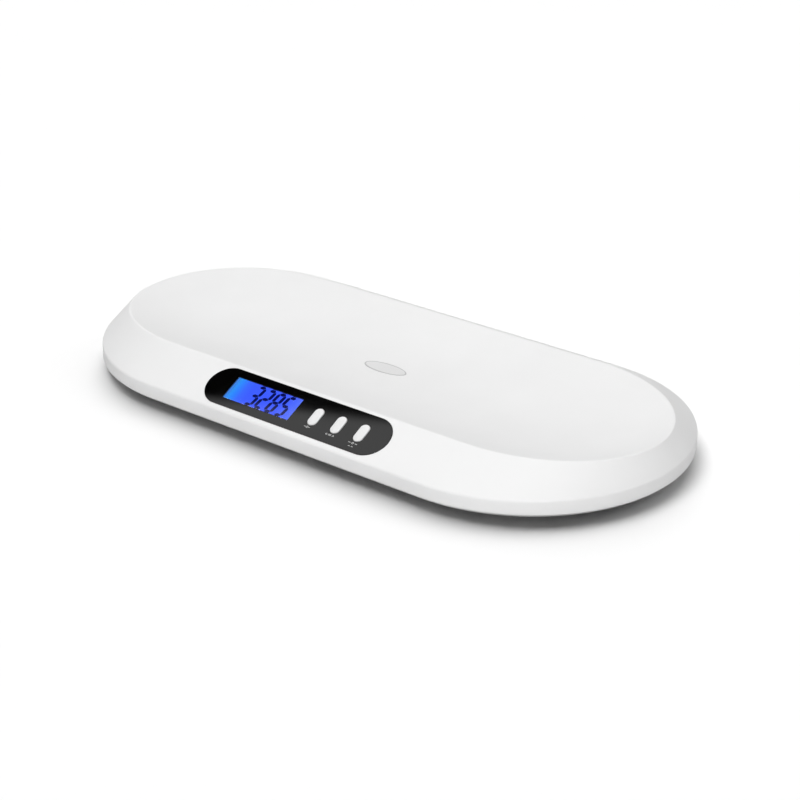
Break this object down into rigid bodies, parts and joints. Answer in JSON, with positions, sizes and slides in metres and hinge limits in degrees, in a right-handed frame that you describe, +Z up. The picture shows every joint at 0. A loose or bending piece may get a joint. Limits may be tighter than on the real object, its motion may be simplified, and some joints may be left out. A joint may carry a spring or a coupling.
{
  "type": "digital baby weighing scale",
  "caption": "Baby weighing scale with an oval dished tray, a sloped black console with a backlit display and push buttons, and weighing feet underneath.",
  "frame": {"origin": "on the table, under the middle of the scale: bottom centre of the bounding box", "axes": "+X along the length, towards the right of a user at the console; -Y towards that user; +Z up"},
  "size_m": [0.55, 0.271, 0.0415],
  "materials": {
    "housing_white": "satin moulded plastic",
    "badge_grey": "smooth matt",
    "console_black": "polished",
    "window_clear": "clear, polished",
    "display_blue": "backlit liquid crystal",
    "frame_ivory": "moulded",
    "guide_clear": "frosted clear",
    "led_blue": "clear resin",
    "rubber_dark": "moulded rubber",
    "board_green": "solder mask",
    "chip_black": "epoxy",
    "steel": "plated",
    "nickel": "nickel plated",
    "button_white": "satin",
    "base_white": "fine moulded grain",
    "holder_grey": "moulded",
    "foot_grey": "moulded",
    "battery_jacket": "plain printed jacket",
    "lead_grey": "insulation",
    "lead_red": "insulation"
  },
  "bodies": {
    "housing": {"top_shell": "housing_white", "tray_badge": "badge_grey", "console_panel": "console_black", "display_window": "window_clear", "lcd_glass": "display_blue", "lcd_frame": "frame_ivory", "backlight_guide": "guide_clear", "backlight_led": "led_blue", "elastomer_strip": "rubber_dark", "main_board": "board_green", "controller_chip": "chip_black", "lead_sockets": "frame_ivory", "board_screws": "steel", "switch_left": "steel", "switch_middle": "steel", "switch_right": "steel", "base_shell": "base_white", "load_cell_front_left": "steel", "cell_holder_front_left": "holder_grey", "load_cell_front_right": "steel", "cell_holder_front_right": "holder_grey", "load_cell_rear_left": "steel", "cell_holder_rear_left": "holder_grey", "load_cell_rear_right": "steel", "cell_holder_rear_right": "holder_grey", "holder_screws": "steel", "housing_screws": "steel", "batteries": "battery_jacket", "contact_plates": "nickel", "contact_springs": "nickel", "load_cell_leads": "lead_grey", "battery_leads": "lead_red"},
    "button_left": {"button_left": "button_white", "plunger_left": "chip_black"},
    "button_middle": {"button_middle": "button_white", "plunger_middle": "chip_black"},
    "button_right": {"button_right": "button_white", "plunger_right": "chip_black"},
    "battery_door": {"battery_door": "base_white"},
    "foot_front_left": {"foot_front_left": "foot_grey", "foot_pad_front_left": "rubber_dark"},
    "foot_front_right": {"foot_front_right": "foot_grey", "foot_pad_front_right": "rubber_dark"},
    "foot_rear_left": {"foot_rear_left": "foot_grey", "foot_pad_rear_left": "rubber_dark"},
    "foot_rear_right": {"foot_rear_right": "foot_grey", "foot_pad_rear_right": "rubber_dark"}
  },
  "joints": [
    {"name": "button_left_press", "type": "slide", "parent": "housing", "child": "button_left", "axis": [0, 0.4484, -0.8938], "range_m": [0, 0.0006], "stiffness_N_per_m": 4000},
    {"name": "button_middle_press", "type": "slide", "parent": "housing", "child": "button_middle", "axis": [0, 0.4484, -0.8938], "range_m": [0, 0.0006], "stiffness_N_per_m": 4000},
    {"name": "button_right_press", "type": "slide", "parent": "housing", "child": "button_right", "axis": [0, 0.4484, -0.8938], "range_m": [0, 0.0006], "stiffness_N_per_m": 4000},
    {"name": "battery_door_hinge", "type": "hinge", "parent": "housing", "child": "battery_door", "pos_m": [-0.02955, 0.03, 0.0088], "axis": [0, 1, 0], "range_deg": [0, 80]},
    {"name": "foot_front_left_load", "type": "slide", "parent": "housing", "child": "foot_front_left", "axis": [0, 0, 1], "range_m": [0, 0.0004], "stiffness_N_per_m": 1500, "springref_m": -0.0022},
    {"name": "foot_front_right_load", "type": "slide", "parent": "housing", "child": "foot_front_right", "axis": [0, 0, 1], "range_m": [0, 0.0004], "stiffness_N_per_m": 1500, "springref_m": -0.0022},
    {"name": "foot_rear_left_load", "type": "slide", "parent": "housing", "child": "foot_rear_left", "axis": [0, 0, 1], "range_m": [0, 0.0004], "stiffness_N_per_m": 1500, "springref_m": -0.0022},
    {"name": "foot_rear_right_load", "type": "slide", "parent": "housing", "child": "foot_rear_right", "axis": [0, 0, 1], "range_m": [0, 0.0004], "stiffness_N_per_m": 1500, "springref_m": -0.0022}
  ]
}
